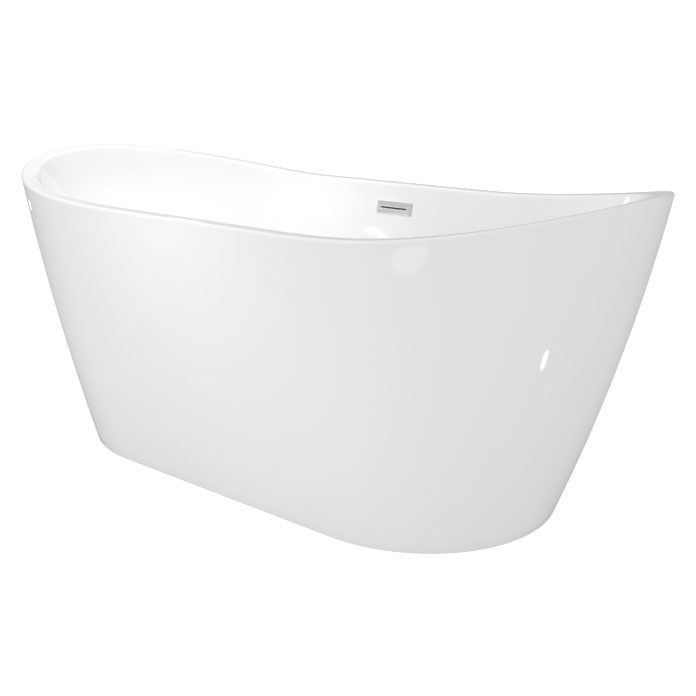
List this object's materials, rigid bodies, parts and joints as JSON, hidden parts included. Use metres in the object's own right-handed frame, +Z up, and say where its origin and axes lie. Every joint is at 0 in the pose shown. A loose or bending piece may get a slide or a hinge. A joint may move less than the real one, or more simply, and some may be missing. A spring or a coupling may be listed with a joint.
{
  "type": "freestanding bathtub",
  "caption": "Oval double-ended freestanding bathtub with a rim that sweeps up to both ends, slotted overflow, centre waste with lifting stopper and levelling feet under a hidden frame.",
  "frame": {"origin": "centre of the footprint on the floor", "axes": "+X along the length, +Y towards the side with the overflow, +Z up"},
  "size_m": [1.4968, 0.7276, 0.6477],
  "materials": {
    "white_acrylic": "gloss",
    "glass_fibre": "matte",
    "plywood": "matte",
    "timber": "matte",
    "zinc_steel": "satin",
    "black_plastic": "matte",
    "chrome_trim": "polished",
    "brass_fitting": "satin",
    "seal_rubber": "matte",
    "fitting_plastic": "satin",
    "hose_plastic": "satin",
    "stainless": "satin"
  },
  "bodies": {
    "bath": {"basin": "white_acrylic", "cross_member_1": "zinc_steel", "cross_member_2": "zinc_steel", "cross_member_3": "zinc_steel", "cross_member_4": "zinc_steel", "floor_board": "plywood", "frame_screws": "zinc_steel", "glass_fibre_backing": "glass_fibre", "hose_clip_lower": "stainless", "hose_clip_upper": "stainless", "lock_nut_back_left": "zinc_steel", "lock_nut_back_right": "zinc_steel", "lock_nut_front_left": "zinc_steel", "lock_nut_front_right": "zinc_steel", "overflow_gasket": "seal_rubber", "overflow_hose": "hose_plastic", "overflow_housing": "fitting_plastic", "overflow_plate": "chrome_trim", "overflow_retainer": "stainless", "overflow_screws": "stainless", "rail_back": "zinc_steel", "rail_front": "zinc_steel", "skirt": "white_acrylic", "skirt_brace_back_left": "timber", "skirt_brace_back_right": "timber", "skirt_brace_front_left": "timber", "skirt_brace_front_right": "timber", "slip_nut": "fitting_plastic", "stopper_cartridge": "brass_fitting", "tailpiece": "brass_fitting", "waste_bottom_seal": "seal_rubber", "waste_flange": "chrome_trim", "waste_nut": "brass_fitting", "waste_tee": "fitting_plastic", "waste_top_seal": "seal_rubber", "weld_nut_back_left": "zinc_steel", "weld_nut_back_right": "zinc_steel", "weld_nut_front_left": "zinc_steel", "weld_nut_front_right": "zinc_steel"},
    "foot_front_left": {"foot_stud_front_left": "zinc_steel", "foot_pad_front_left": "black_plastic"},
    "foot_front_right": {"foot_stud_front_right": "zinc_steel", "foot_pad_front_right": "black_plastic"},
    "foot_back_left": {"foot_stud_back_left": "zinc_steel", "foot_pad_back_left": "black_plastic"},
    "foot_back_right": {"foot_stud_back_right": "zinc_steel", "foot_pad_back_right": "black_plastic"},
    "stopper": {"stopper_cap": "chrome_trim", "stopper_seal": "seal_rubber", "stopper_stem": "brass_fitting"}
  },
  "joints": [
    {"name": "foot_front_left_height", "type": "slide", "parent": "bath", "child": "foot_front_left", "axis": [0, 0, 1], "range_m": [-0.02, 0.006]},
    {"name": "foot_front_right_height", "type": "slide", "parent": "bath", "child": "foot_front_right", "axis": [0, 0, 1], "range_m": [-0.02, 0.006]},
    {"name": "foot_back_left_height", "type": "slide", "parent": "bath", "child": "foot_back_left", "axis": [0, 0, 1], "range_m": [-0.02, 0.006]},
    {"name": "foot_back_right_height", "type": "slide", "parent": "bath", "child": "foot_back_right", "axis": [0, 0, 1], "range_m": [-0.02, 0.006]},
    {"name": "stopper_lift", "type": "slide", "parent": "bath", "child": "stopper", "axis": [0, 0, 1], "range_m": [0, 0.01]}
  ]
}
